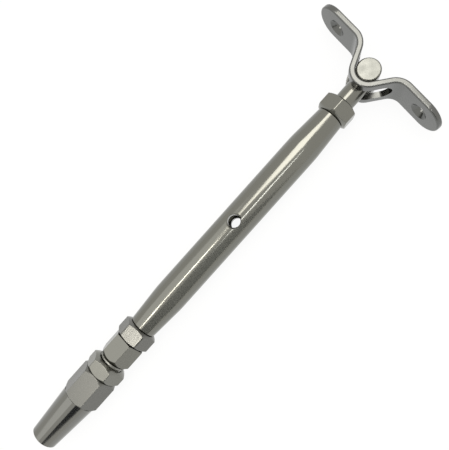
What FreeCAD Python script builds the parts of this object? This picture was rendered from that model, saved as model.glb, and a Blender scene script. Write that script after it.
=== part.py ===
import FreeCAD, Part
import math
import os
import re
import Sketcher

# Shroud adjuster: a bent deck plate, a T-bolt that swings in its trough, a closed barrel between two
# lock nuts, and a screwed cone terminal for wire rope.
# Row frame: the origin is the middle of the deck plate's mounting face, +X points out of that face
# into the deck, Y runs along the plate and Z across it. The pivot lies at -X, and the adjuster runs
# from it towards -X, turned about Z by the swing at rest. Millimetres and degrees throughout.

doc = FreeCAD.newDocument("ShroudAdjuster")

sizes = [
    ("plateWidth", 16, "deck plate: width of the flat bar"),
    ("plateThick", 2.4, "deck plate: thickness of the bar"),
    ("plateSpan", 65.4, "deck plate: length over both wings"),
    ("deckHeight", 7.5, "deck plate: pivot above the mounting face"),
    ("flankAngle", 31, "deck plate: flank against the line square to the deck"),
    ("bendRadius", 5.5, "deck plate: inside radius between flank and wing"),
    ("screwPitch", 46, "deck plate: distance between the screw holes"),
    ("screwHole", 4.4, "deck plate: screw hole diameter"),
    ("screwSink", 7.6, "deck plate: countersink diameter"),
    ("slotWidth", 8.6, "deck plate: width of the slot for the shank"),
    ("slotReach", 8.4, "deck plate: how far the slot runs up each flank"),
    ("plateEdge", 0.4, "deck plate: chamfer of the bar's edges"),
    ("headDia", 9.4, "T-bolt: cross head diameter"),
    ("headLength", 15.6, "T-bolt: cross head length"),
    ("headClear", 0.1, "T-bolt: gap between head and trough"),
    ("headChamfer", 0.5, "T-bolt: chamfer of the head's ends"),
    ("restSwing", 8.6, "T-bolt: swing from square to the deck, as it lies"),
    ("shankLength", 13.6, "T-bolt: pivot to the upper lock nut"),
    ("studDia", 8, "both studs: thread diameter"),
    ("studDepth", 48, "both studs: length inside the closed barrel"),
    ("studTip", 0.9, "both studs: chamfer at the tip"),
    ("threadGap", 0.05, "all threads: clearance in radius"),
    ("nutFlats", 13, "lock nuts: width across flats"),
    ("nutHeight", 7, "lock nuts: height"),
    ("nutFace", 11.2, "lock nuts: diameter of the turned face"),
    ("nutAngle", 30, "all nuts: angle of the corner chamfer"),
    ("upperNutTurn", 2, "upper lock nut: corner's turn from upright"),
    ("lowerNutTurn", 33, "lower lock nut: corner's turn from upright"),
    ("barrelLength", 109, "barrel: length"),
    ("barrelDia", 13, "barrel: diameter of the straight middle"),
    ("barrelEndDia", 11, "barrel: diameter at the ends"),
    ("barrelTaper", 15.5, "barrel: length of each tapered end"),
    ("barrelEdge", 0.4, "barrel: chamfer at the ends"),
    ("barrelThread", 20, "barrel: length of each threaded bore"),
    ("barrelBore", 9, "barrel: diameter of the bore between the threads"),
    ("crossHole", 5, "barrel: tommy bar hole diameter"),
    ("crossEdge", 0.3, "barrel: chamfer of the tommy bar hole's rims"),
    ("collarFlats", 12, "terminal stud: collar across flats"),
    ("collarLength", 10.1, "terminal stud: collar length"),
    ("collarTurn", 20, "terminal stud: corner's turn from upright"),
    ("collarCrown", 13.2, "terminal stud: collar's upper face diameter"),
    ("collarNose", 10.6, "terminal stud: collar's lower face diameter"),
    ("collarNoseLength", 2, "terminal stud: length of the collar's lower chamfer"),
    ("neckDia", 10, "terminal stud: neck thread diameter"),
    ("neckBare", 1.2, "terminal stud: bare neck above its lock nut"),
    ("neckDepth", 12, "terminal stud: neck inside the sleeve"),
    ("neckTip", 0.7, "terminal stud: chamfer at the neck's end"),
    ("lockFlats", 14, "terminal lock nut: width across flats"),
    ("lockHeight", 5.9, "terminal lock nut: height"),
    ("lockFace", 11.6, "terminal lock nut: upper face diameter"),
    ("lockSeat", 13.6, "terminal lock nut: lower face diameter"),
    ("lockSeatLength", 1.28, "terminal lock nut: length of the lower chamfer"),
    ("sleeveFlats", 14, "sleeve: width across flats"),
    ("sleeveHex", 12.7, "sleeve: length of the hexagon"),
    ("sleeveTurn", 30, "sleeve and its lock nut: corner's turn from upright"),
    ("sleeveFace", 13.8, "sleeve: diameter of the turned top face"),
    ("sleeveFaceLength", 1.2, "sleeve: length of the top chamfer"),
    ("coneLength", 20.9, "sleeve: length of the cone"),
    ("coneTop", 14.3, "sleeve: cone diameter below the hexagon"),
    ("coneRim", 11, "sleeve: cone diameter at the wire's end"),
    ("coneRamp", 1, "sleeve: length over which the corners run into the cone"),
    ("rimEdge", 0.25, "sleeve: chamfer of the rim"),
    ("wireHole", 5.2, "sleeve: hole for the wire"),
    ("wireLead", 0.4, "sleeve: chamfer of the wire's hole"),
    ("wireLand", 6.5, "sleeve: straight length of the wire's hole"),
    ("neckRelief", 1.6, "sleeve: bore runs this far past the neck"),
    ("gripTop", 8.8, "sleeve: large diameter of the inner cone"),
    ("gripDrop", 2.6, "sleeve: inner cone begins this far past the neck"),
    ("formerDia", 7.8, "wire former: diameter"),
    ("formerHeight", 3.6, "wire former: height"),
    ("formerCup", 1.4, "wire former: depth of the cup for the core"),
    ("wedgeGap", 0.05, "core wedge: gap to the inner cone"),
    ("wedgeLength", 9, "core wedge: length"),
    ("coreBore", 3, "core wedge and wire former: hole for the wire's core"),
    ("wedgeSlit", 0.8, "core wedge: width of the slit"),
]

sheet = doc.addObject("Spreadsheet::Sheet", "Sizes")
for row, (name, value, note) in enumerate(sizes, start=1):
    sheet.set("A%d" % row, note)
    sheet.set("B%d" % row, str(value))
    sheet.setAlias("B%d" % row, name)
doc.recompute()
names = {name for name, value, note in sizes}

# Stations along the adjuster, measured from the pivot towards the wire
nutTop = "shankLength"
barrelTop = f"({nutTop} + nutHeight)"
barrelFoot = f"({barrelTop} + barrelLength)"
collarTop = f"({barrelFoot} + nutHeight)"
collarFoot = f"({collarTop} + collarLength)"
lockTop = f"({collarFoot} + neckBare)"
sleeveTop = f"({lockTop} + lockHeight)"
neckEnd = f"({sleeveTop} + neckDepth)"
coneStart = f"({sleeveTop} + sleeveHex)"
rim = f"({coneStart} + coneLength)"
gripStart = f"({neckEnd} + gripDrop)"
gripEnd = f"({rim} - wireLand)"
wedgeTop = f"({neckEnd} + formerHeight)"

# Radii and slopes that several pieces share
troughInner = "(headDia / 2 + headClear)"
troughOuter = f"({troughInner} + plateThick)"
studBore = "(studDia / 2 + threadGap)"
neckBore = "(neckDia / 2 + threadGap)"
gripSlope = f"((gripTop - wireHole) / 2 / ({gripEnd} - {gripStart}))"
# A radius beyond every piece on the axis, for cuts that clear them
outside = "(nutFlats + barrelDia + lockFlats + sleeveFlats)"

tolerance = 0.001


def bound(text):
    """An expression with each size's name pointed at the sheet."""
    return re.sub(r"[A-Za-z]+", lambda word: "Sizes." + word.group() if word.group() in names else word.group(), text)


def value_of(text):
    return float(sheet.evalExpression(bound(text)))


def new_body(label):
    body = doc.addObject("PartDesign::Body", label)
    body.Label = label
    return body


def new_sketch(body, name, role):
    sketch = body.newObject("Sketcher::SketchObject", name)
    plane = next(item for item in body.Origin.OriginFeatures if item.Role == role)
    sketch.AttachmentSupport = [(plane, "")]
    sketch.MapMode = "FlatFace"
    return sketch


def constrain(sketch, kind, reference, number, text):
    place = sketch.addConstraint(Sketcher.Constraint(kind, *reference, number))
    sketch.setExpression("Constraints[%d]" % place, bound(text))


def add_outline(sketch, points):
    """Draw a closed outline through corners given as expressions."""
    first = sketch.GeometryCount
    corners = [FreeCAD.Vector(value_of(across), value_of(up), 0) for across, up in points]
    for index, corner in enumerate(corners):
        sketch.addGeometry(Part.LineSegment(corner, corners[(index + 1) % len(corners)]))
    for index, (corner, (across, up)) in enumerate(zip(corners, points)):
        side = first + index
        following = first + (index + 1) % len(points)
        sketch.addConstraint(Sketcher.Constraint("Coincident", side, 2, following, 1))
        constrain(sketch, "DistanceX", (-1, 1, side, 1), corner.x, across)
        constrain(sketch, "DistanceY", (-1, 1, side, 1), corner.y, up)


def add_circle(sketch, across, up, radius):
    centre = FreeCAD.Vector(value_of(across), value_of(up), 0)
    circle = sketch.addGeometry(Part.Circle(centre, FreeCAD.Vector(0, 0, 1), value_of(radius)))
    constrain(sketch, "DistanceX", (-1, 1, circle, 3), centre.x, across)
    constrain(sketch, "DistanceY", (-1, 1, circle, 3), centre.y, up)
    constrain(sketch, "Radius", (circle,), value_of(radius), radius)


def extrude(body, kind, name, sketch, length, both_ways=False):
    feature = body.newObject(kind, name)
    feature.Profile = sketch
    if both_ways:
        feature.SideType = "Symmetric"
    feature.setExpression("Length", bound(length))
    doc.recompute()
    return feature


def turn(body, kind, name, points):
    """A round form about the adjuster's axis, from its outline in stations and radii."""
    sketch = new_sketch(body, name + "Profile", "XY_Plane")
    add_outline(sketch, points)
    feature = body.newObject(kind, name)
    feature.Profile = sketch
    feature.ReferenceAxis = (sketch, ["H_Axis"])
    feature.Angle = 360
    doc.recompute()
    return feature


def dress(body, kind, name, base, picks, amount):
    """Fillet or chamfer the edges of a feature that a test picks."""
    edges = ["Edge%d" % number for number, edge in enumerate(base.Shape.Edges, start=1) if picks(edge)]
    feature = body.newObject(kind, name)
    feature.Base = (base, edges)
    feature.setExpression("Radius" if kind == "PartDesign::Fillet" else "Size", bound(amount))
    doc.recompute()
    return feature


def near(one, other):
    return abs(one - other) < tolerance


def samples(edge):
    """The two ends and the middle of an edge."""
    return [edge.valueAt(edge.FirstParameter + (edge.LastParameter - edge.FirstParameter) * part) for part in (0, 0.5, 1)]


def is_round(edge, radius):
    return isinstance(edge.Curve, Part.Circle) and near(edge.Curve.Radius, radius)


def lay_on_axis(body, cornerTurn="0"):
    """Put a piece, drawn along its own X from the pivot, on the adjuster's line."""
    swing = "placement(vector(-deckHeight; 0; 0); rotation(vector(0; 0; 1); 180 + restSwing))"
    roll = f"placement(vector(0; 0; 0); rotation(vector(1; 0; 0); -({cornerTurn})))"
    body.setExpression("Placement", bound(f"{swing} * {roll}"))


def add_hexagon(body, name, flats, start, length):
    """A hexagonal bar along X with one corner upright."""
    sketch = new_sketch(body, name + "Outline", "YZ_Plane")
    sketch.setExpression("AttachmentOffset.Base.z", bound(start))
    corner = f"{flats} / 2 / cos(30)"
    add_outline(sketch, [(f"{corner} * sin({60 * step})", f"{corner} * cos({60 * step})") for step in range(6)])
    return extrude(body, "PartDesign::Pad", name, sketch, length)


def cut_corners(body, name, station, inward, flats, face, length):
    """Turn a hexagon's corners away to a round face at a station; inward is 1 or -1 along X."""
    corner = f"({flats} / 2 / cos(30))"
    overshoot = 1.3
    farRadius = f"{face} / 2 + ({corner} - {face} / 2) * {overshoot}"
    farStation = f"{station} + {inward * overshoot} * {length}"
    beyond = f"{station} - ({inward})"
    return turn(body, "PartDesign::Groove", name, [
        (beyond, f"{face} / 2"),
        (station, f"{face} / 2"),
        (farStation, farRadius),
        (farStation, outside),
        (beyond, outside),
    ])


def chamfer_run(flats, face):
    """Length of a corner chamfer at the nuts' angle."""
    return f"(({flats} / 2 / cos(30) - {face} / 2) * tan(nutAngle))"


def bore_through(body, name, start, end, radius):
    """A threaded bore along the axis, drawn at its clearance radius."""
    return turn(body, "PartDesign::Groove", name, [
        (start, "0"),
        (start, radius),
        (end, radius),
        (end, "0"),
    ])


def make_deck_plate():
    """One flat bar bent to a trough between two wings, with a slot for the shank."""
    body = new_body("deck_plate")
    outerTip = f"(-deckHeight - {troughOuter} / sin(flankAngle))"
    innerTip = f"(-deckHeight - {troughInner} / sin(flankAngle))"
    outerBend = f"((-plateThick - {outerTip}) * tan(flankAngle))"
    innerBend = f"(-{innerTip} * tan(flankAngle))"
    profile = new_sketch(body, "plateProfile", "XY_Plane")
    add_outline(profile, [
        (outerTip, "0"),
        ("-plateThick", outerBend),
        ("-plateThick", "plateSpan / 2"),
        ("0", "plateSpan / 2"),
        ("0", innerBend),
        (innerTip, "0"),
        ("0", f"-{innerBend}"),
        ("0", "-plateSpan / 2"),
        ("-plateThick", "-plateSpan / 2"),
        ("-plateThick", f"-{outerBend}"),
    ])
    plate = extrude(body, "PartDesign::Pad", "plateBar", profile, "plateWidth", both_ways=True)

    def folds_at(across, up):
        foldX, foldY = value_of(across), value_of(up)
        return lambda edge: all(near(point.x, foldX) and near(abs(point.y), foldY) for point in samples(edge))

    plate = dress(body, "PartDesign::Fillet", "troughOutside", plate, folds_at(outerTip, "0"), troughOuter)
    plate = dress(body, "PartDesign::Fillet", "troughInside", plate, folds_at(innerTip, "0"), troughInner)
    plate = dress(body, "PartDesign::Fillet", "bendInside", plate, folds_at("-plateThick", outerBend), "bendRadius")
    plate = dress(body, "PartDesign::Fillet", "bendOutside", plate, folds_at("0", innerBend), "bendRadius + plateThick")

    # The slot is cut square to the flanks, which it climbs on both sides
    def flank_point(height, side):
        across = f"-deckHeight - ({height}) * sin(flankAngle) + slotReach * cos(flankAngle)"
        up = f"({side}) * (({height}) * cos(flankAngle) + slotReach * sin(flankAngle))"
        return (across, up)

    above = f"{troughOuter} + plateThick"
    slotProfile = new_sketch(body, "slotProfile", "XY_Plane")
    add_outline(slotProfile, [
        (f"-deckHeight - ({above}) / sin(flankAngle)", "0"),
        flank_point(above, 1),
        flank_point("0", 1),
        ("-deckHeight", "0"),
        flank_point("0", -1),
        flank_point(above, -1),
    ])
    plate = extrude(body, "PartDesign::Pocket", "slot", slotProfile, "slotWidth", both_ways=True)

    halfSlot = value_of("slotWidth / 2")
    halfWidth = value_of("plateWidth / 2")
    halfSpan = value_of("plateSpan / 2")
    pivotX = value_of("-deckHeight")
    lean = math.radians(value_of("flankAngle"))
    reach = value_of("slotReach")

    def along_flank(point):
        return (point.x - pivotX) * math.cos(lean) + abs(point.y) * math.sin(lean)

    def is_slot_corner(edge):
        return all(near(along_flank(point), reach) and near(abs(point.z), halfSlot) for point in samples(edge))

    plate = dress(body, "PartDesign::Fillet", "slotEnds", plate, is_slot_corner, "slotWidth / 2 - 0.05")

    def is_wing_corner(edge):
        return all(near(abs(point.y), halfSpan) and near(abs(point.z), halfWidth) for point in samples(edge))

    plate = dress(body, "PartDesign::Fillet", "wingTips", plate, is_wing_corner, "plateWidth / 2 - 0.05")

    def is_bar_edge(edge):
        box = edge.BoundBox
        beside = all(near(abs(point.z), halfWidth) for point in samples(edge)) and box.YLength > tolerance
        aroundTip = box.XLength < tolerance and near(max(abs(point.y) for point in samples(edge)), halfSpan)
        return beside or aroundTip

    plate = dress(body, "PartDesign::Chamfer", "barEdges", plate, is_bar_edge, "plateEdge")

    holes = new_sketch(body, "screwHoles", "YZ_Plane")
    for side in (1, -1):
        add_circle(holes, f"({side}) * screwPitch / 2", "0", "screwHole / 2")
    plate = extrude(body, "PartDesign::Pocket", "screwHolesCut", holes, "4 * plateThick", both_ways=True)
    holeRadius = value_of("screwHole / 2")
    wingFace = value_of("-plateThick")

    def is_sink_edge(edge):
        return is_round(edge, holeRadius) and near(edge.Curve.Center.x, wingFace)

    dress(body, "PartDesign::Chamfer", "countersinks", plate, is_sink_edge, "(screwSink - screwHole) / 2")
    return body


def make_t_bolt():
    """A cross head that turns in the trough, and a right-hand stud through the slot."""
    body = new_body("t_bolt")
    circle = new_sketch(body, "headCircle", "XY_Plane")
    add_circle(circle, "0", "0", "headDia / 2")
    head = extrude(body, "PartDesign::Pad", "head", circle, "headLength", both_ways=True)
    headRadius = value_of("headDia / 2")
    dress(body, "PartDesign::Chamfer", "headEnds", head, lambda edge: is_round(edge, headRadius), "headChamfer")
    studEnd = f"({barrelTop} + studDepth)"
    turn(body, "PartDesign::Revolution", "shank", [
        ("0", "0"),
        ("0", "studDia / 2"),
        (f"{studEnd} - studTip", "studDia / 2"),
        (studEnd, "studDia / 2 - studTip"),
        (studEnd, "0"),
    ])
    lay_on_axis(body)
    return body


def make_lock_nut(label, start, cornerTurn):
    """A hexagon nut with both faces turned, standing on the stud beside the barrel."""
    body = new_body(label)
    end = f"({start} + nutHeight)"
    add_hexagon(body, label + "Hexagon", "nutFlats", start, "nutHeight")
    run = chamfer_run("nutFlats", "nutFace")
    cut_corners(body, label + "TopFace", start, 1, "nutFlats", "nutFace", run)
    cut_corners(body, label + "FootFace", end, -1, "nutFlats", "nutFace", run)
    bore_through(body, label + "Bore", start, end, studBore)
    lay_on_axis(body, cornerTurn)
    return body


def make_barrel():
    """A closed round body, tapered and threaded at both ends, with a hole for a tommy bar."""
    body = new_body("barrel")
    tube = turn(body, "PartDesign::Revolution", "tube", [
        (barrelTop, studBore),
        (barrelTop, "barrelEndDia / 2 - barrelEdge"),
        (f"{barrelTop} + barrelEdge", "barrelEndDia / 2"),
        (f"{barrelTop} + barrelTaper", "barrelDia / 2"),
        (f"{barrelFoot} - barrelTaper", "barrelDia / 2"),
        (f"{barrelFoot} - barrelEdge", "barrelEndDia / 2"),
        (barrelFoot, "barrelEndDia / 2 - barrelEdge"),
        (barrelFoot, studBore),
        (f"{barrelFoot} - barrelThread", studBore),
        (f"{barrelFoot} - barrelThread", "barrelBore / 2"),
        (f"{barrelTop} + barrelThread", "barrelBore / 2"),
        (f"{barrelTop} + barrelThread", studBore),
    ])
    cross = new_sketch(body, "crossHoleCircle", "XY_Plane")
    middle = f"({barrelTop} + barrelLength / 2)"
    add_circle(cross, middle, "0", "crossHole / 2")
    tube = extrude(body, "PartDesign::Pocket", "crossHoleCut", cross, "2 * barrelDia", both_ways=True)
    middleX = value_of(middle)
    holeRadius = value_of("crossHole / 2")
    tubeRadius = value_of("barrelDia / 2")

    def is_hole_rim(edge):
        points = samples(edge)
        onHole = all(near(math.hypot(point.x - middleX, point.y), holeRadius) for point in points)
        return onHole and all(near(math.hypot(point.y, point.z), tubeRadius) for point in points)

    dress(body, "PartDesign::Chamfer", "crossHoleRims", tube, is_hole_rim, "crossEdge")
    lay_on_axis(body)
    return body


def make_terminal_stud():
    """A left-hand stud, a hexagon collar and a thicker neck below it, all one piece."""
    body = new_body("terminal_stud")
    studStart = f"({barrelFoot} - studDepth)"
    within = f"({collarTop} + collarLength / 2)"
    turn(body, "PartDesign::Revolution", "studAndNeck", [
        (studStart, "0"),
        (studStart, "studDia / 2 - studTip"),
        (f"{studStart} + studTip", "studDia / 2"),
        (within, "studDia / 2"),
        (within, "neckDia / 2"),
        (f"{neckEnd} - neckTip", "neckDia / 2"),
        (neckEnd, "neckDia / 2 - neckTip"),
        (neckEnd, "0"),
    ])
    add_hexagon(body, "collar", "collarFlats", collarTop, "collarLength")
    crownRun = chamfer_run("collarFlats", "collarCrown")
    cut_corners(body, "collarTopFace", collarTop, 1, "collarFlats", "collarCrown", crownRun)
    # The lower chamfer is turned round the neck, which it leaves whole
    corner = "(collarFlats / 2 / cos(30))"
    turn(body, "PartDesign::Groove", "collarLowerFace", [
        (collarFoot, "collarNose / 2"),
        (f"{collarFoot} - collarNoseLength * 1.3", f"collarNose / 2 + ({corner} - collarNose / 2) * 1.3"),
        (f"{collarFoot} - collarNoseLength * 1.3", outside),
        (f"{collarFoot} + 1", outside),
        (f"{collarFoot} + 1", "collarNose / 2"),
    ])
    lay_on_axis(body, "collarTurn")
    return body


def make_terminal_lock_nut():
    """A thin hexagon nut that locks the neck against the sleeve."""
    body = new_body("terminal_lock_nut")
    add_hexagon(body, "lockHexagon", "lockFlats", lockTop, "lockHeight")
    run = chamfer_run("lockFlats", "lockFace")
    cut_corners(body, "lockTopFace", lockTop, 1, "lockFlats", "lockFace", run)
    cut_corners(body, "lockFootFace", sleeveTop, -1, "lockFlats", "lockSeat", "lockSeatLength")
    bore_through(body, "lockBore", lockTop, sleeveTop, neckBore)
    lay_on_axis(body, "sleeveTurn")
    return body


def make_terminal_sleeve():
    """A hexagon that runs into a long cone, bored for the neck, the grip and the wire."""
    body = new_body("terminal_sleeve")
    within = f"({sleeveTop} + sleeveHex / 2)"
    turn(body, "PartDesign::Revolution", "cone", [
        (within, "0"),
        (within, "coneRim / 2"),
        (coneStart, "coneRim / 2"),
        (coneStart, "coneTop / 2"),
        (f"{rim} - rimEdge", "coneRim / 2"),
        (rim, "coneRim / 2 - rimEdge"),
        (rim, "0"),
    ])
    add_hexagon(body, "sleeveHexagon", "sleeveFlats", sleeveTop, "sleeveHex")
    cut_corners(body, "sleeveTopFace", sleeveTop, 1, "sleeveFlats", "sleeveFace", "sleeveFaceLength")
    corner = "(sleeveFlats / 2 / cos(30))"
    turn(body, "PartDesign::Groove", "cornerRamps", [
        (coneStart, "coneTop / 2"),
        (f"{coneStart} - coneRamp * 1.3", f"coneTop / 2 + ({corner} - coneTop / 2) * 1.3"),
        (f"{coneStart} - coneRamp * 1.3", outside),
        (f"{coneStart} + 1", outside),
        (f"{coneStart} + 1", "coneTop / 2"),
    ])
    turn(body, "PartDesign::Groove", "sleeveBore", [
        (sleeveTop, "0"),
        (sleeveTop, neckBore),
        (f"{neckEnd} + neckRelief", neckBore),
        (gripStart, "gripTop / 2"),
        (gripEnd, "wireHole / 2"),
        (f"{rim} - wireLead", "wireHole / 2"),
        (rim, "wireHole / 2 + wireLead"),
        (rim, "0"),
    ])
    lay_on_axis(body, "sleeveTurn")
    return body


def make_wire_former():
    """A cup between the neck's end and the wedge that the wire's strands bend round."""
    body = new_body("wire_former")
    turn(body, "PartDesign::Revolution", "formerDisc", [
        (neckEnd, "0"),
        (neckEnd, "formerDia / 2"),
        (wedgeTop, "formerDia / 2"),
        (wedgeTop, "coreBore / 2"),
        (f"{wedgeTop} - formerCup", "coreBore / 2"),
        (f"{wedgeTop} - formerCup", "0"),
    ])
    lay_on_axis(body)
    return body


def make_core_wedge():
    """A slit cone that presses the wire's strands against the sleeve."""
    body = new_body("core_wedge")
    wedgeEnd = f"({wedgeTop} + wedgeLength)"
    topRadius = f"(gripTop / 2 - ({wedgeTop} - {gripStart}) * {gripSlope} - wedgeGap)"
    endRadius = f"({topRadius} - wedgeLength * {gripSlope})"
    turn(body, "PartDesign::Revolution", "wedgeCone", [
        (wedgeTop, "coreBore / 2"),
        (wedgeTop, topRadius),
        (wedgeEnd, endRadius),
        (wedgeEnd, "coreBore / 2"),
    ])
    slit = new_sketch(body, "slitProfile", "XY_Plane")
    add_outline(slit, [
        (f"{wedgeTop} - 1", "0"),
        (f"{wedgeTop} - 1", "gripTop"),
        (f"{wedgeEnd} + 1", "gripTop"),
        (f"{wedgeEnd} + 1", "0"),
    ])
    extrude(body, "PartDesign::Pocket", "slit", slit, "wedgeSlit", both_ways=True)
    lay_on_axis(body)
    return body


pieces = [
    make_deck_plate(),
    make_t_bolt(),
    make_lock_nut("upper_lock_nut", nutTop, "upperNutTurn"),
    make_barrel(),
    make_lock_nut("lower_lock_nut", barrelFoot, "lowerNutTurn"),
    make_terminal_stud(),
    make_terminal_lock_nut(),
    make_terminal_sleeve(),
    make_wire_former(),
    make_core_wedge(),
]
doc.recompute()

for item in doc.Objects:
    if "Invalid" in item.State or "Error" in item.State:
        raise RuntimeError("%s is in state %s" % (item.Name, item.State))
for piece in pieces:
    if piece.Shape.isNull() or not piece.Shape.isValid() or len(piece.Shape.Solids) != 1:
        raise RuntimeError("%s is not one valid solid" % piece.Label)

os.makedirs("parts", exist_ok=True)
for piece in pieces:
    piece.Shape.exportStep("parts/%s.step" % piece.Label)
    box = piece.Shape.BoundBox
    print("%-18s volume %9.2f  x %8.2f %8.2f  y %8.2f %8.2f  z %7.2f %7.2f" % (
        piece.Label, piece.Shape.Volume, box.XMin, box.XMax, box.YMin, box.YMax, box.ZMin, box.ZMax))
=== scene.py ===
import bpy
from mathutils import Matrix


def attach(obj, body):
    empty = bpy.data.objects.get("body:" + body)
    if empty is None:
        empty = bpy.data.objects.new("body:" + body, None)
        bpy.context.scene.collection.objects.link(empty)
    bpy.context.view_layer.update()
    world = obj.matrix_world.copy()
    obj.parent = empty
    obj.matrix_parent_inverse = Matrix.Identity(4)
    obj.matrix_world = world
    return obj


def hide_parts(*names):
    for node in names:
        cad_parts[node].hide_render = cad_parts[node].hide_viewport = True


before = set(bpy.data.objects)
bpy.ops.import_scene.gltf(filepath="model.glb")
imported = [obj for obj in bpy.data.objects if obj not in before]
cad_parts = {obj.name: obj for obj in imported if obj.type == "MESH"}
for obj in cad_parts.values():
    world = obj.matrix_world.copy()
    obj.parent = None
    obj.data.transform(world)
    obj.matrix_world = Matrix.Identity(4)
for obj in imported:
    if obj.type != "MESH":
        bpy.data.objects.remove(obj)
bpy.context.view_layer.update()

import math

import bmesh
import bpy
from mathutils import Matrix, Vector

mm = 0.001
fullTurn = 2 * math.pi


# Small helpers for edit mode

def clearSelection():
    if bpy.context.mode != "OBJECT":
        bpy.ops.object.mode_set(mode="OBJECT")
    bpy.ops.object.select_all(action="DESELECT")


def startEditing(piece):
    clearSelection()
    piece.select_set(True)
    bpy.context.view_layer.objects.active = piece
    bpy.ops.object.mode_set(mode="EDIT")
    bpy.ops.mesh.select_mode(type="VERT")


def namePiece(name):
    piece = bpy.context.active_object
    piece.name = name
    piece.data.name = name
    return piece


def applyModifier(piece, kind, **settings):
    clearSelection()
    piece.select_set(True)
    bpy.context.view_layer.objects.active = piece
    modifier = piece.modifiers.new(kind.lower(), kind)
    for key, value in settings.items():
        setattr(modifier, key, value)
    bpy.ops.object.modifier_apply(modifier=modifier.name)


def carve(piece, tool, operation):
    # the tool is used up
    applyModifier(piece, "BOOLEAN", operation=operation, object=tool, solver="EXACT")
    bpy.data.meshes.remove(tool.data)


def drawLine(name, points, closed):
    # a plane is merged to one point, which is then extruded from corner to corner
    clearSelection()
    bpy.ops.mesh.primitive_plane_add(size=1, location=(0, 0, 0))
    piece = namePiece(name)
    startEditing(piece)
    bpy.ops.mesh.select_all(action="SELECT")
    bpy.ops.mesh.merge(type="CENTER")
    spot = Vector((0, 0, 0))
    first = True
    for point in list(points) + ([points[0]] if closed else []):
        step = Vector(point) - spot
        if first:
            bpy.ops.transform.translate(value=step)
            first = False
        else:
            bpy.ops.mesh.extrude_vertices_move(TRANSFORM_OT_translate={"value": step})
        spot = Vector(point)
    bpy.ops.mesh.select_all(action="SELECT")
    bpy.ops.mesh.remove_doubles(threshold=0.0001)
    return piece


def turnOnLathe(name, outline, closed=False, steps=96):
    # an outline of stations and radii is spun about X
    piece = drawLine(name, [(station, radius, 0) for station, radius in outline], closed)
    bpy.ops.mesh.select_all(action="SELECT")
    bpy.ops.mesh.spin(steps=steps, angle=fullTurn, center=(0, 0, 0), axis=(1, 0, 0))
    bpy.ops.mesh.select_all(action="SELECT")
    bpy.ops.mesh.remove_doubles(threshold=0.0005)
    bpy.ops.mesh.normals_make_consistent(inside=False)
    bpy.ops.object.mode_set(mode="OBJECT")
    return piece


def pushFlat(name, corners, height):
    # a closed outline in XY becomes a block, half of its height above and half below
    piece = drawLine(name, [(x, y, -height / 2) for x, y in corners], True)
    bpy.ops.mesh.select_all(action="SELECT")
    bpy.ops.mesh.edge_face_add()
    bpy.ops.mesh.extrude_region_move(TRANSFORM_OT_translate={"value": (0, 0, height)})
    bpy.ops.mesh.select_all(action="SELECT")
    bpy.ops.mesh.normals_make_consistent(inside=False)
    bpy.ops.object.mode_set(mode="OBJECT")
    return piece


def hexagonBar(name, flats, start, length):
    # one corner points up
    bpy.ops.mesh.primitive_cylinder_add(vertices=6, radius=flats / math.sqrt(3), depth=length)
    piece = namePiece(name)
    turnMesh(piece, Matrix.Translation((start + length / 2, 0, 0)) @ Matrix.Rotation(math.pi / 6, 4, "X")
             @ Matrix.Rotation(math.pi / 2, 4, "Y"))
    return piece


def turnMesh(piece, matrix):
    clearSelection()
    piece.select_set(True)
    bpy.context.view_layer.objects.active = piece
    piece.matrix_world = matrix
    bpy.ops.object.transform_apply(location=True, rotation=True, scale=True)


def threadedRod(name, radius, pitch, start, end, leftHand=False, crest=0.125):
    # one pitch of a 60 degree thread is wound along X past both ends, then cut square
    # a worn crest is a larger share of the pitch and leaves the groove shallower
    flank = (0.75 - crest) / 2
    root = radius - flank * pitch * math.sqrt(3)
    oneTurn = [(0, root), (pitch / 4, root), (pitch * (1 / 4 + flank), radius),
               (pitch * (1 / 4 + flank + crest), radius), (pitch, root)]
    piece = drawLine(name, [(x, y, 0) for x, y in oneTurn], False)
    bpy.ops.object.mode_set(mode="OBJECT")
    turns = math.ceil((end - start) / pitch) + 3
    applyModifier(piece, "SCREW", axis="X", angle=-fullTurn if leftHand else fullTurn, screw_offset=pitch,
                  iterations=turns, steps=40, render_steps=40, use_merge_vertices=True, merge_threshold=0.001)
    # the shift keeps the square cuts off the thread's own points
    turnMesh(piece, Matrix.Translation((start - 1.629 * pitch, 0, 0)))
    startEditing(piece)
    bpy.ops.mesh.select_all(action="SELECT")
    bpy.ops.mesh.remove_doubles(threshold=0.001)
    for place, side in ((start, 1), (end, -1)):
        bpy.ops.mesh.select_all(action="SELECT")
        bpy.ops.mesh.bisect(plane_co=(place, 0, 0), plane_no=(side, 0, 0), use_fill=True, clear_inner=True)
    bpy.ops.mesh.select_all(action="SELECT")
    bpy.ops.mesh.normals_make_consistent(inside=False)
    bpy.ops.object.mode_set(mode="OBJECT")
    return piece


def arc(centre, radius, fromAngle, toAngle, steps):
    # points round a centre, angles in degrees
    points = []
    for step in range(steps + 1):
        angle = math.radians(fromAngle + (toAngle - fromAngle) * step / steps)
        points.append((centre[0] + radius * math.cos(angle), centre[1] + radius * math.sin(angle)))
    return points


def bevelEdges(piece, chosen, width, segments):
    # edges are picked by a test on the edge and the angle between its faces
    startEditing(piece)
    bpy.ops.mesh.select_mode(type="EDGE")
    bpy.ops.mesh.select_all(action="DESELECT")
    form = bmesh.from_edit_mesh(piece.data)
    for edge in form.edges:
        if len(edge.link_faces) == 2 and chosen(edge, math.degrees(edge.calc_face_angle(0))):
            edge.select_set(True)
    bmesh.update_edit_mesh(piece.data)
    bpy.ops.mesh.bevel(offset=width, segments=segments, affect="EDGES", clamp_overlap=True)
    bpy.ops.object.mode_set(mode="OBJECT")


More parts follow.
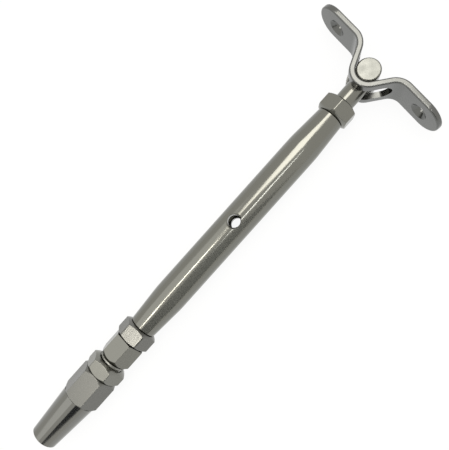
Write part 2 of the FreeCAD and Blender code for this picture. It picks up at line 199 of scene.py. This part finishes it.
def softenEdges(piece, width, segments=2, angle=28):
    # slivers left by the cuts are merged first, or they would hold the bevel back
    startEditing(piece)
    bpy.ops.mesh.select_all(action="SELECT")
    bpy.ops.mesh.remove_doubles(threshold=0.04)
    bpy.ops.mesh.dissolve_degenerate(threshold=0.001)
    bpy.ops.object.mode_set(mode="OBJECT")
    applyModifier(piece, "BEVEL", width=width, segments=segments, limit_method="ANGLE",
                  angle_limit=math.radians(angle), use_clamp_overlap=True, miter_outer="MITER_ARC")


def smoothPiece(piece, angle=30):
    clearSelection()
    piece.select_set(True)
    bpy.context.view_layer.objects.active = piece
    bpy.ops.object.shade_smooth_by_angle(angle=math.radians(angle))
    applyModifier(piece, "WEIGHTED_NORMAL", mode="FACE_AREA", weight=50, keep_sharp=True)


# Stations along the adjuster in mm from the pivot, and how it lies

line = {
    "deckHeight": 7.5,
    "restSwing": 8.6,
    "nutTop": 13.6,
    "nutHeight": 7.0,
    "barrelLength": 109.0,
    "collarLength": 10.1,
    "neckBare": 1.2,
    "lockHeight": 5.9,
    "neckDepth": 12.0,
    "sleeveHex": 12.7,
    "coneLength": 20.9,
}
barrelTop = line["nutTop"] + line["nutHeight"]
barrelFoot = barrelTop + line["barrelLength"]
collarTop = barrelFoot + line["nutHeight"]
collarFoot = collarTop + line["collarLength"]
lockTop = collarFoot + line["neckBare"]
sleeveTop = lockTop + line["lockHeight"]
neckEnd = sleeveTop + line["neckDepth"]
coneStart = sleeveTop + line["sleeveHex"]
rim = coneStart + line["coneLength"]


def layOnLine(piece, cornerTurn=0):
    # from its own X axis in mm to the adjuster's line in metres
    swing = Matrix.Rotation(math.radians(180 + line["restSwing"]), 4, "Z")
    roll = Matrix.Rotation(math.radians(-cornerTurn), 4, "X")
    pivot = Matrix.Translation((-line["deckHeight"] * mm, 0, 0))
    turnMesh(piece, pivot @ swing @ roll @ Matrix.Scale(mm, 4))


def stationOf(face):
    # how far along the adjuster a finished face lies, in mm
    swing = math.radians(line["restSwing"])
    return -(face.center.x / mm + line["deckHeight"]) * math.cos(swing) - face.center.y / mm * math.sin(swing)


def finishPiece(piece, node, body, materials):
    piece.data.materials.clear()
    for material in materials:
        piece.data.materials.append(material)
    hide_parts(node)
    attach(piece, body)
    print("made", piece.name, len(piece.data.polygons), "faces")


# Materials

def fromHex(text):
    channels = [int(text[place:place + 2], 16) / 255 for place in (0, 2, 4)]
    linear = [value / 12.92 if value <= 0.04045 else ((value + 0.055) / 1.055) ** 2.4 for value in channels]
    return (*linear, 1)


def addNode(tree, kind, settings=None, **links):
    # links are socket name with underscores = value or another node's output
    node = tree.nodes.new(kind)
    for key, value in (settings or {}).items():
        setattr(node, key, value)
    for key, value in links.items():
        socket = node.inputs[int(key[1:])] if key[0] == "i" and key[1:].isdigit() else node.inputs[key.replace("_", " ")]
        if isinstance(value, bpy.types.NodeSocket):
            tree.links.new(value, socket)
        else:
            socket.default_value = value
    return node


def stainless(name, colour, roughness, spread, grain, grainDepth, drawn):
    # grain in mm across the line and drawn times as long along it moves the roughness and a fine bump
    material = bpy.data.materials.new(name)
    material.use_nodes = True
    tree = material.node_tree
    shader = tree.nodes["Principled BSDF"]
    shader.inputs["Base Color"].default_value = fromHex(colour)
    shader.inputs["Metallic"].default_value = 1
    place = addNode(tree, "ShaderNodeTexCoord")
    lengthwise = addNode(tree, "ShaderNodeMapping", {"vector_type": "TEXTURE"}, Vector=place.outputs["Object"],
                         Rotation=(0, 0, math.radians(line["restSwing"])), Scale=(drawn, 1, 1))
    wear = addNode(tree, "ShaderNodeTexNoise", Vector=lengthwise.outputs["Vector"], Scale=1 / (4 * mm), Detail=4)
    polish = addNode(tree, "ShaderNodeMapRange", Value=wear.outputs["Fac"], From_Min=0.3, From_Max=0.7,
                     To_Min=roughness - spread, To_Max=roughness + spread)
    tree.links.new(polish.outputs["Result"], shader.inputs["Roughness"])
    scratches = addNode(tree, "ShaderNodeTexNoise", Vector=lengthwise.outputs["Vector"], Scale=1 / (grain * mm),
                        Detail=3)
    bump = addNode(tree, "ShaderNodeBump", Height=scratches.outputs["Fac"], Strength=grainDepth, Distance=0.1 * mm)
    tree.links.new(bump.outputs["Normal"], shader.inputs["Normal"])
    return material


# drawn 316 bar, polished on the lathe: grey with fine bright lines along it
drawnBar = stainless("drawnBar", "7C7C76", 0.16, 0.03, 1.1, 0.5, 80)
# hexagon faces: satin, slightly grainy
satinHexagon = stainless("satinHexagon", "7F7F79", 0.22, 0.03, 0.6, 0.015, 3)
# the lower nut and the sleeve: the same finish, a shade darker
dulledHexagon = stainless("dulledHexagon", "747470", 0.28, 0.04, 0.6, 0.015, 3)
# turned cone: the brightest polish, so what it mirrors is sharp
polishedCone = stainless("polishedCone", "7D7D79", 0.12, 0.02, 0.9, 0.01, 30)
# rolled strip, tumbled: satin and even
tumbledStrip = stainless("tumbledStrip", "6C6D6B", 0.21, 0.03, 0.9, 0.015, 1)
# open thread: rolled flanks, duller than the bar, and painted lighter than the bar to offset the shade in the narrow
# gap between collar and lock nut
rolledThreadPaintedLight = stainless("rolledThreadPaintedLight", "A8A8A2", 0.45, 0.04, 0.3, 0.03, 1)
# faced ends: bright and grainy
facedEnd = stainless("facedEnd", "91928D", 0.4, 0.06, 0.5, 0.25, 1)


# Deck plate: one strip bent to a trough between two wings

plate = {
    "width": 16.0,
    "thick": 2.4,
    "span": 65.4,
    "lean": 31.0,
    "troughInner": 4.8,
    "bendInside": 5.5,
    "screwPitch": 46.0,
    "screwHole": 4.4,
    "screwSink": 7.6,
    "slotWidth": 8.6,
    "slotReach": 8.4,
    "edgeRound": 0.65,
    "slotRound": 0.4,
}


def plateSide(height, bendRadius, wingX):
    # one skin of the bent strip, from the middle of the crown to the +Y wing, pivot at the origin
    lean = math.radians(plate["lean"])
    crown = arc((0, 0), height, 180, 90 + plate["lean"], 12)
    corner = (wingX + height / math.sin(lean)) * math.tan(lean)
    run = bendRadius * math.tan((math.pi / 2 - lean) / 2)
    start = Vector((wingX - run * math.cos(lean), corner - run * math.sin(lean)))
    # the bend's centre lies on the outer side of the flank
    centre = start + Vector((-math.sin(lean), math.cos(lean))) * bendRadius
    bend = arc(centre, bendRadius, -90 + plate["lean"], 0, 10)
    return crown + bend


def buildDeckPlate():
    half = plate["width"] / 2
    outerHeight = plate["troughInner"] + plate["thick"]
    wingOuter = line["deckHeight"] - plate["thick"]
    tip = plate["span"] / 2
    outer = plateSide(outerHeight, plate["bendInside"], wingOuter) + [(wingOuter, tip + 1)]
    inner = plateSide(plate["troughInner"], plate["bendInside"] + plate["thick"], line["deckHeight"])
    inner += [(line["deckHeight"], tip + 1)]
    # outer skin from -Y to +Y, then the inner skin back
    loop = [(x, -y) for x, y in outer[:0:-1]] + outer + inner[:0:-1] + [(x, -y) for x, y in inner]
    # wider than the bar, so that the blank alone cuts its sides
    strip = pushFlat("deck_plate_piece", loop, plate["width"] + 2)

    # plan: a bar with half round ends, drawn in YZ and pushed along X
    ends = arc((tip - half, 0), half, -90, 90, 40) + arc((half - tip, 0), half, 90, 270, 40)
    blank = pushFlat("blank", ends, 60)
    turnMesh(blank, Matrix.Rotation(math.pi / 2, 4, "Z") @ Matrix.Rotation(math.pi / 2, 4, "X"))
    carve(strip, blank, "INTERSECT")

    slotHalf = plate["slotWidth"] / 2
    lean = math.radians(plate["lean"])
    for side in (1, -1):
        # a tongue shape that starts beyond the crown and ends round on the flank
        tongue = arc((plate["slotReach"] - slotHalf, 0), slotHalf, -90, 90, 32) + [(-9, slotHalf), (-9, -slotHalf)]
        cutter = pushFlat("slotCutter", tongue, 12)
        # X runs up the flank, Z out of it
        along = Vector((math.cos(lean), side * math.sin(lean), 0))
        out = Vector((-math.sin(lean), side * math.cos(lean), 0))
        across = out.cross(along)
        turn = Matrix((along, across, out)).transposed().to_4x4()
        turnMesh(cutter, Matrix.Translation(out * 6) @ turn)
        carve(strip, cutter, "DIFFERENCE")

    holeRadius = plate["screwHole"] / 2
    sinkRadius = plate["screwSink"] / 2
    for side in (1, -1):
        drill = turnOnLathe("drill", [
            (wingOuter - 1, 0), (wingOuter - 1, sinkRadius + 1), (wingOuter + sinkRadius - holeRadius, holeRadius),
            (line["deckHeight"] + 1, holeRadius), (line["deckHeight"] + 1, 0)], steps=64)
        turnMesh(drill, Matrix.Translation((0, side * plate["screwPitch"] / 2, 0)))
        carve(strip, drill, "DIFFERENCE")

    startEditing(strip)
    bpy.ops.mesh.select_all(action="SELECT")
    bpy.ops.mesh.remove_doubles(threshold=0.08)
    bpy.ops.mesh.dissolve_degenerate(threshold=0.001)
    bpy.ops.object.mode_set(mode="OBJECT")

    def onRim(point):
        if abs(point.z) > half - 0.01:
            return True
        beyond = abs(point.y) - (tip - half)
        return beyond > 0 and math.hypot(beyond, point.z) > half - 0.03

    def isRim(edge, angle):
        return angle > 45 and all(onRim(vertex.co) for vertex in edge.verts)

    def isSlotRim(edge, angle):
        return angle > 45 and all(abs(vertex.co.z) < slotHalf + 0.01 and vertex.co.x < wingOuter - 1
                                  for vertex in edge.verts)

    bevelEdges(strip, isRim, plate["edgeRound"], 4)
    bevelEdges(strip, isSlotRim, plate["slotRound"], 3)
    turnMesh(strip, Matrix.Translation((-line["deckHeight"] * mm, 0, 0)) @ Matrix.Scale(mm, 4))
    smoothPiece(strip)
    finishPiece(strip, "deck_plate", "deck_plate", [tumbledStrip])
    return strip


# T-bolt: cross head, smooth shank and right-hand stud

bolt = {
    "headRadius": 4.7,
    "headLength": 15.6,
    "headChamfer": 0.5,
    "studRadius": 4.0,
    "studDepth": 48.0,
    "studTip": 0.9,
    "pitch": 1.25,
    "threadFrom": 14.5,
}


def buildBolt():
    bpy.ops.mesh.primitive_cylinder_add(vertices=96, radius=bolt["headRadius"], depth=bolt["headLength"])
    head = namePiece("t_bolt_piece")
    bevelEdges(head, lambda edge, angle: angle > 60, bolt["headChamfer"], 1)
    softenEdges(head, 0.12)
    end = barrelTop + bolt["studDepth"]
    tip = bolt["studTip"]
    radius = bolt["studRadius"]
    rod = threadedRod("boltThread", radius, bolt["pitch"], bolt["threadFrom"] - 1, end + 1)
    envelope = turnOnLathe("boltEnvelope", [
        (bolt["threadFrom"] - 0.6, 0), (bolt["threadFrom"] - 0.6, radius - 1), (bolt["threadFrom"] + 0.6, radius + 0.2),
        (end - tip - 0.2, radius + 0.2), (end, radius - tip), (end, 0)], steps=48)
    carve(rod, envelope, "INTERSECT")
    shank = turnOnLathe("shank", [
        (0, 0), (0, radius), (bolt["threadFrom"], radius), (bolt["threadFrom"] + 0.8, radius - 0.8),
        (bolt["threadFrom"] + 0.8, 0)], steps=64)
    carve(rod, shank, "UNION")
    carve(head, rod, "UNION")
    layOnLine(head)
    smoothPiece(head)
    # the head's two end faces are faced, the rest is polished
    endHeight = (bolt["headLength"] / 2 - 0.02) * mm
    marks = [1 if abs(face.center.z) > endHeight and abs(face.normal.z) > 0.99 else 0 for face in head.data.polygons]
    finishPiece(head, "t_bolt", "t_bolt", [drawnBar, facedEnd])
    head.data.polygons.foreach_set("material_index", marks)


# Lock nuts for the barrel

nut = {
    "flats": 13.0,
    "faceRadius": 5.6,
    "chamferAngle": 30.0,
    "boreRadius": 4.05,
    "lead": 0.5,
    "edgeRound": 0.25,
    "cornerRound": 0.4,
    "upperTurn": 2.0,
    "lowerTurn": 33.0,
}


def nutBody(name, flats, start, height, topRadius, topRun, footRadius, footRun, boreRadius, lead, edgeRound,
            cornerRound):
    # a hexagon inside a turned double cone, drilled through
    corner = flats / math.sqrt(3)
    reach = 1.3
    topOut = topRadius + (corner - topRadius) * reach
    footOut = footRadius + (corner - footRadius) * reach
    end = start + height
    piece = hexagonBar(name, flats, start, height)
    # the six long corners are rounded while they are still whole
    bevelEdges(piece, lambda edge, angle: 50 < angle < 70, cornerRound, 3)
    cones = turnOnLathe("nutCones", [
        (start, 0), (start, topRadius), (start + topRun * reach, topOut), (end - footRun * reach, footOut),
        (end, footRadius), (end, 0)], steps=120)
    carve(piece, cones, "INTERSECT")
    bore = turnOnLathe("nutBore", [
        (start - 1, 0), (start - 1, boreRadius + lead + 1), (start + lead, boreRadius), (end - lead, boreRadius),
        (end + 1, boreRadius + lead + 1), (end + 1, 0)], steps=64)
    carve(piece, bore, "DIFFERENCE")
    softenEdges(piece, edgeRound)
    return piece


def buildLockNuts():
    # modelled once at the upper place; the lower one is a copy with its own mesh
    run = (nut["flats"] / math.sqrt(3) - nut["faceRadius"]) * math.tan(math.radians(nut["chamferAngle"]))
    upper = nutBody("upper_lock_nut_piece", nut["flats"], line["nutTop"], line["nutHeight"], nut["faceRadius"],
                    run, nut["faceRadius"], run, nut["boreRadius"], nut["lead"], nut["edgeRound"], nut["cornerRound"])
    clearSelection()
    upper.select_set(True)
    bpy.context.view_layer.objects.active = upper
    bpy.ops.object.duplicate(linked=False)
    lower = namePiece("lower_lock_nut_piece")
    turnMesh(lower, Matrix.Translation((barrelFoot - line["nutTop"], 0, 0)))
    for piece, node, cornerTurn, finish in ((upper, "upper_lock_nut", nut["upperTurn"], satinHexagon),
                                            (lower, "lower_lock_nut", nut["lowerTurn"], dulledHexagon)):
        layOnLine(piece, cornerTurn)
        smoothPiece(piece)
        finishPiece(piece, node, node, [finish])


# Barrel: round, tapered at both ends, with a tommy bar hole

barrel = {
    "radius": 6.5,
    "endRadius": 5.5,
    "taper": 15.5,
    "blendRadius": 60.0,
    "edge": 0.4,
    "thread": 20.0,
    "threadRadius": 4.05,
    "boreRadius": 4.5,
    "holeRadius": 2.5,
    "holeDepth": 5.85,
}


def buildBarrel():
    lean = math.atan((barrel["radius"] - barrel["endRadius"]) / (barrel["taper"] - barrel["edge"]))
    run = barrel["blendRadius"] * math.tan(lean / 2)
    centreHeight = barrel["radius"] - barrel["blendRadius"]
    blend = arc((barrel["taper"] + run, centreHeight), barrel["blendRadius"], 90 + math.degrees(lean), 90, 8)
    halfOuter = [(0, barrel["endRadius"] - barrel["edge"]), (barrel["edge"], barrel["endRadius"])] + blend
    halfInner = [(barrel["thread"] + 0.5, barrel["boreRadius"]), (barrel["thread"], barrel["threadRadius"]),
                 (0.5, barrel["threadRadius"]), (0, barrel["threadRadius"] + 0.5)]
    topHalf = [(barrelTop + x, r) for x, r in halfOuter]
    footHalf = [(barrelFoot - x, r) for x, r in halfOuter[::-1]]
    footInner = [(barrelFoot - x, r) for x, r in halfInner[::-1]]
    topInner = [(barrelTop + x, r) for x, r in halfInner]
    middle = (barrelTop + barrelFoot) / 2
    # extra rings beside the hole keep the long strips of faces short there
    rings = [(middle + offset, barrel["radius"]) for offset in (-8, -4, 4, 8)]
    tube = turnOnLathe("barrel_piece", topHalf + rings + footHalf + footInner + topInner, closed=True, steps=128)
    flare = barrel["holeRadius"] + 8 - barrel["holeDepth"]
    drill = turnOnLathe("tommyDrill", [
        (-8, 0), (-8, flare), (-barrel["holeDepth"], barrel["holeRadius"]), (barrel["holeDepth"], barrel["holeRadius"]),
        (8, flare), (8, 0)], steps=64)
    turnMesh(drill, Matrix.Translation((middle, 0, 0)) @ Matrix.Rotation(math.pi / 2, 4, "Y"))
    carve(tube, drill, "DIFFERENCE")
    layOnLine(tube)
    smoothPiece(tube)
    finishPiece(tube, "barrel", "barrel", [drawnBar])


# Terminal stud: left-hand stud, hexagon collar and neck

stud = {
    "collarFlats": 12.0,
    "crownRadius": 6.6,
    "noseRadius": 5.3,
    "noseLength": 2.0,
    "neckRadius": 5.0,
    "neckPitch": 1.25,
    "neckCrest": 0.45,
    "neckTip": 0.7,
    "turn": 20.0,
}


def buildTerminalStud():
    corner = stud["collarFlats"] / math.sqrt(3)
    collar = hexagonBar("terminal_stud_piece", stud["collarFlats"], collarTop, line["collarLength"])
    crownRun = (corner - stud["crownRadius"]) * math.tan(math.radians(30))
    reach = 1.3
    cones = turnOnLathe("collarCones", [
        (collarTop, 0), (collarTop, stud["crownRadius"]),
        (collarTop + crownRun * reach, stud["crownRadius"] + (corner - stud["crownRadius"]) * reach),
        (collarFoot - stud["noseLength"] * reach, stud["noseRadius"] + (corner - stud["noseRadius"]) * reach),
        (collarFoot, stud["noseRadius"]), (collarFoot, 0)], steps=120)
    carve(collar, cones, "INTERSECT")
    softenEdges(collar, 0.15)
    neck = threadedRod("neckThread", stud["neckRadius"], stud["neckPitch"], collarFoot - 1, neckEnd + 1,
                        crest=stud["neckCrest"])
    envelope = turnOnLathe("neckEnvelope", [
        (collarFoot - 0.5, 0), (collarFoot - 0.5, stud["neckRadius"] + 0.2),
        (neckEnd - stud["neckTip"] - 0.2, stud["neckRadius"] + 0.2), (neckEnd, stud["neckRadius"] - stud["neckTip"]),
        (neckEnd, 0)], steps=48)
    carve(neck, envelope, "INTERSECT")
    carve(collar, neck, "UNION")
    studStart = barrelFoot - bolt["studDepth"]
    rod = threadedRod("studThread", bolt["studRadius"], bolt["pitch"], studStart - 1, collarTop + 1, leftHand=True)
    tip = bolt["studTip"]
    envelope = turnOnLathe("studEnvelope", [
        (studStart, 0), (studStart, bolt["studRadius"] - tip), (studStart + tip + 0.2, bolt["studRadius"] + 0.2),
        (collarTop + 0.5, bolt["studRadius"] + 0.2), (collarTop + 0.5, 0)], steps=48)
    carve(rod, envelope, "INTERSECT")
    carve(collar, rod, "UNION")
    layOnLine(collar, stud["turn"])
    smoothPiece(collar)
    # the neck's faces get the thread material, whose lighter colour is painted light against the shade in the gap
    marks = [1 if stationOf(face) > collarFoot + 0.02 else 0 for face in collar.data.polygons]
    finishPiece(collar, "terminal_stud", "terminal", [satinHexagon, rolledThreadPaintedLight])
    collar.data.polygons.foreach_set("material_index", marks)


# Terminal lock nut and sleeve

sleeve = {
    "flats": 14.0,
    "turn": 30.0,
    "lockFaceRadius": 5.8,
    "lockSeatRadius": 6.8,
    "lockSeatLength": 1.28,
    "faceRadius": 6.9,
    "faceLength": 1.2,
    "coneRadius": 7.15,
    "rimRadius": 5.5,
    "rimEdge": 0.25,
    "ramp": 1.0,
    "neckBore": 5.05,
    "gripRadius": 4.4,
    "wireRadius": 2.6,
}


def buildTerminalNut():
    corner = sleeve["flats"] / math.sqrt(3)
    run = (corner - sleeve["lockFaceRadius"]) * math.tan(math.radians(30))
    piece = nutBody("terminal_lock_nut_piece", sleeve["flats"], lockTop, line["lockHeight"], sleeve["lockFaceRadius"],
                    run, sleeve["lockSeatRadius"], sleeve["lockSeatLength"], sleeve["neckBore"], 0.5, 0.15, 0.2)
    layOnLine(piece, sleeve["turn"])
    smoothPiece(piece)
    finishPiece(piece, "terminal_lock_nut", "terminal", [satinHexagon])


def buildSleeve():
    corner = sleeve["flats"] / math.sqrt(3)
    reach = 1.3
    piece = hexagonBar("terminal_sleeve_piece", sleeve["flats"], sleeveTop, line["sleeveHex"])
    cones = turnOnLathe("sleeveCones", [
        (sleeveTop, 0), (sleeveTop, sleeve["faceRadius"]),
        (sleeveTop + sleeve["faceLength"] * reach, sleeve["faceRadius"] + (corner - sleeve["faceRadius"]) * reach),
        (coneStart - sleeve["ramp"] * reach, sleeve["coneRadius"] + (corner - sleeve["coneRadius"]) * reach),
        (coneStart, sleeve["coneRadius"]), (coneStart, 0)], steps=120)
    carve(piece, cones, "INTERSECT")
    softenEdges(piece, 0.15)
    cone = turnOnLathe("sleeveCone", [
        (sleeveTop + 4, 0), (sleeveTop + 4, sleeve["rimRadius"]), (coneStart, sleeve["rimRadius"]),
        (coneStart, sleeve["coneRadius"]), (rim - sleeve["rimEdge"], sleeve["rimRadius"]),
        (rim, sleeve["rimRadius"] - sleeve["rimEdge"]), (rim, 0)], steps=120)
    carve(piece, cone, "UNION")
    bore = turnOnLathe("sleeveBore", [
        (sleeveTop - 1, 0), (sleeveTop - 1, sleeve["neckBore"] + 1.5), (sleeveTop + 0.5, sleeve["neckBore"]),
        (neckEnd + 1.6, sleeve["neckBore"]), (neckEnd + 2.6, sleeve["gripRadius"]),
        (rim - 6.5, sleeve["wireRadius"]), (rim - 0.4, sleeve["wireRadius"]), (rim + 0.6, sleeve["wireRadius"] + 1),
        (rim + 0.6, 0)], steps=120)
    carve(piece, bore, "DIFFERENCE")
    layOnLine(piece, sleeve["turn"])
    smoothPiece(piece)
    # the cone is polished and the hexagon above it satin
    marks = [1 if stationOf(face) > coneStart + 0.5 else 0 for face in piece.data.polygons]
    finishPiece(piece, "terminal_sleeve", "terminal", [dulledHexagon, polishedCone])
    piece.data.polygons.foreach_set("material_index", marks)


buildDeckPlate()
buildBolt()
buildLockNuts()
buildBarrel()
buildTerminalStud()
buildTerminalNut()
buildSleeve()
for node in ("wire_former", "core_wedge"):
    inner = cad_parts[node]
    inner.data.materials.clear()
    inner.data.materials.append(drawnBar)
print("pieces made")


# Camera where the photograph was taken from, a hand's breadth above the adjuster

view = {
    "place": (-0.0770, -0.0446, 0.1831),
    "turn": (6.85, 9.0635, -38.9224),
    "lens": 38.4,
    "sensor": 36.0,
}
clearSelection()
bpy.ops.object.camera_add(location=view["place"], rotation=[math.radians(angle) for angle in view["turn"]])
camera = bpy.context.active_object
camera.data.lens = view["lens"]
camera.data.sensor_width = view["sensor"]
camera.data.clip_start = 0.01
camera.data.clip_end = 20
bpy.context.scene.camera = camera

# Floor: white paper under the plate's edge, 8 mm below the axis
studio = {
    "floorHeight": -0.00802,
    "floorSize": 12.0,
    "worldLevel": 0.95,
}
clearSelection()
bpy.ops.mesh.primitive_plane_add(size=studio["floorSize"], location=(-0.09, 0, studio["floorHeight"]))
floor = namePiece("paper_floor")
paper = bpy.data.materials.new("whitePaper")
paper.use_nodes = True
tree = paper.node_tree
tree.nodes.remove(tree.nodes["Principled BSDF"])
lit = addNode(tree, "ShaderNodeBsdfDiffuse", Color=fromHex("F2F2F0"))
glow = addNode(tree, "ShaderNodeEmission", Color=(1, 1, 1, 1), Strength=1.0)
path = addNode(tree, "ShaderNodeLightPath")
seen = addNode(tree, "ShaderNodeMath", {"operation": "MAXIMUM"}, i0=path.outputs["Is Camera Ray"],
               i1=path.outputs["Is Glossy Ray"])
seenToo = addNode(tree, "ShaderNodeMath", {"operation": "MAXIMUM"}, i0=seen.outputs["Value"],
                  i1=path.outputs["Is Transmission Ray"])
share = addNode(tree, "ShaderNodeMath", {"operation": "MULTIPLY"}, i0=seenToo.outputs["Value"], i1=0.92)
blend = addNode(tree, "ShaderNodeMixShader", i0=share.outputs["Value"], i1=lit.outputs["BSDF"],
                i2=glow.outputs["Emission"])
tree.links.new(blend.outputs["Shader"], tree.nodes["Material Output"].inputs["Surface"])
floor.data.materials.append(paper)

world = bpy.data.worlds.new("studio")
bpy.context.scene.world = world
world.use_nodes = True
world.node_tree.nodes["Background"].inputs["Color"].default_value = fromHex("FFFDF8")
world.node_tree.nodes["Background"].inputs["Strength"].default_value = studio["worldLevel"]


def addLamp(name, middle, run, width, power, colour):
    # a rectangle whose length lies along run and which faces the adjuster
    clearSelection()
    bpy.ops.object.light_add(type="AREA")
    lamp = bpy.context.active_object
    lamp.name = name
    lamp.data.shape = "RECTANGLE"
    lamp.data.size = Vector(run).length
    lamp.data.size_y = width
    lamp.data.energy = power
    lamp.data.color = fromHex(colour)[:3]
    along = Vector(run).normalized()
    away = (Vector(middle) - Vector((-0.1, 0, 0)))
    away = (away - along * away.dot(along)).normalized()
    turn = Matrix((along, away.cross(along), away)).transposed().to_4x4()
    lamp.matrix_world = Matrix.Translation(middle) @ turn


# a long tube over the barrel's lower half, a window over its upper half, and one broad soft ceiling panel
addLamp("longTube", (-0.38, -0.025, 1.0), (0.42, 0.13, 0), 0.065, 1.3, "FFFAF2")
addLamp("window", (0.19, 0.268, 1.0), (0.42, -0.34, 0), 0.52, 3.4, "FFFBF4")
addLamp("thinTube", (0.09, -0.39, 1.0), (0.26, 0.06, 0), 0.055, 0.46, "FFFFFF")
addLamp("ceilingPanel", (-0.75, 0.4, 1.05), (1.2, 0, 0), 1.1, 2.1, "FFFFFF")

# a dark screen beside the lower half, seen only as a reflection: a painted dark reflection on the barrel and the cone
clearSelection()
bpy.ops.mesh.primitive_plane_add(size=1)
screen = namePiece("painted_reflection_screen")
turnMesh(screen, Matrix.Translation((-0.42, -0.93, 0.602)) @ Matrix.Rotation(math.radians(26.6), 4, "Z")
         @ Matrix.Rotation(math.radians(37.7), 4, "X") @ Matrix.Diagonal((1.1, 1.3, 1, 1)))
# painted reflection colour: nearly black at its far end and pale beside the barrel
reflectionPaint = bpy.data.materials.new("paintedReflection")
reflectionPaint.use_nodes = True
tree = reflectionPaint.node_tree
place = addNode(tree, "ShaderNodeTexCoord")
axes = addNode(tree, "ShaderNodeSeparateXYZ", Vector=place.outputs["Object"])
reach = addNode(tree, "ShaderNodeMapRange", Value=axes.outputs["X"], From_Min=-0.66, From_Max=-0.46)
shade = addNode(tree, "ShaderNodeMix", {"data_type": "RGBA"}, i0=reach.outputs["Result"], i6=fromHex("30343C"),
                i7=fromHex("BABCBE"))
tree.links.new(shade.outputs[2], tree.nodes["Principled BSDF"].inputs["Base Color"])
screen.data.materials.append(reflectionPaint)
screen.visible_camera = False
screen.visible_diffuse = False
screen.visible_shadow = False

scene = bpy.context.scene
scene.view_settings.view_transform = "Standard"
